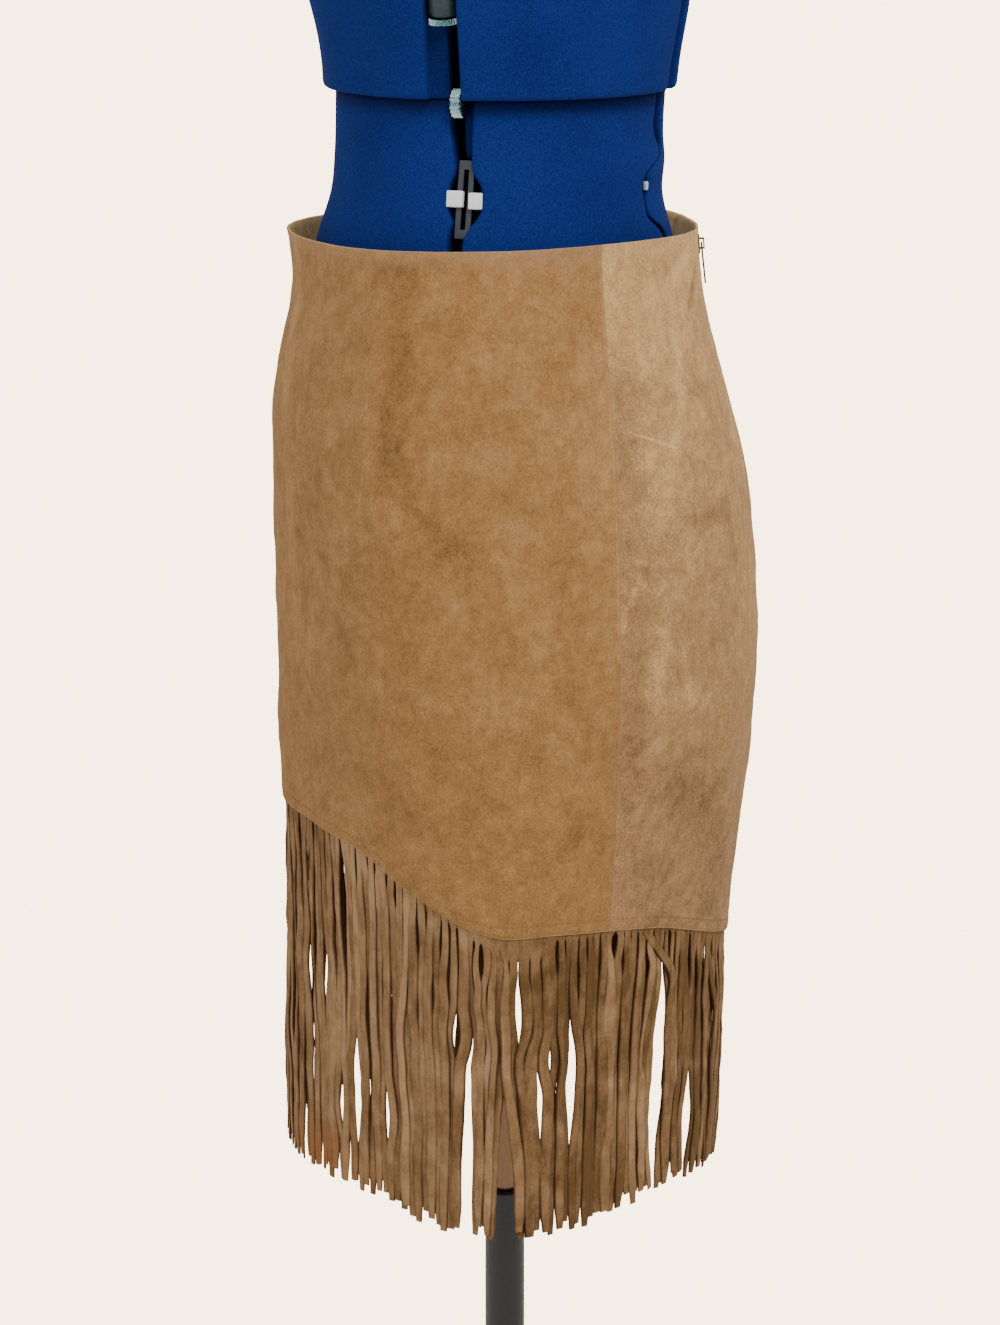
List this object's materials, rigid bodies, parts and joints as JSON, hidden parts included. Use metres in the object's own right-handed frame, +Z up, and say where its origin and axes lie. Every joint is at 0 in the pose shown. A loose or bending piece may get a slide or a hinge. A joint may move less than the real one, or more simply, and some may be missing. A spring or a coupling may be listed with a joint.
{
  "type": "suede fringe skirt on a limbless dress form",
  "caption": "Straight suede skirt with a hem that drops from front to back and a long slit fringe, worn by a cloth-covered dress form on a pole and round base.",
  "frame": {"origin": "middle of the base's underside, on the pole's axis, where the stand rests on the floor", "axes": "+Z up along the pole, -Y towards the front of the skirt and form, +Y towards the zip at centre back, +X to the wearer's left"},
  "size_m": [0.43, 0.43, 1.5483],
  "materials": {
    "tan_suede": "napped tan suede, matt with a soft sheen",
    "pale_suede": "paler, greyer napped suede",
    "fringe_suede": "napped suede cut in strands, raw edges",
    "zip_cloth": "woven brown zip tape",
    "old_brass": "dull worn brass",
    "form_cloth": "deep blue bonded knit over the form's shells",
    "stand_plastic": "black moulded plastic",
    "stand_paint": "satin black paint",
    "bright_steel": "bright plated steel"
  },
  "bodies": {
    "stand_and_skirt": {"front_panel": "tan_suede", "left_back_panel": "pale_suede", "right_back_panel": "pale_suede", "front_fringe": "fringe_suede", "left_back_fringe": "fringe_suede", "right_back_fringe": "fringe_suede", "zip_tape": "zip_cloth", "zip_chain": "old_brass", "zip_slider": "old_brass", "form_upper": "form_cloth", "form_lower": "form_cloth", "neck_cap": "stand_plastic", "pole_socket": "stand_paint", "pole_rod": "bright_steel", "pole_tube": "stand_paint", "base": "stand_paint"},
    "pull_tab": {"zip_pull": "old_brass"}
  },
  "joints": [
    {"name": "zip_pull_swing", "type": "hinge", "parent": "stand_and_skirt", "child": "pull_tab", "pos_m": [0, 0.10627, 0.99037], "axis": [1, 0, 0], "range_deg": [0, 165]}
  ]
}
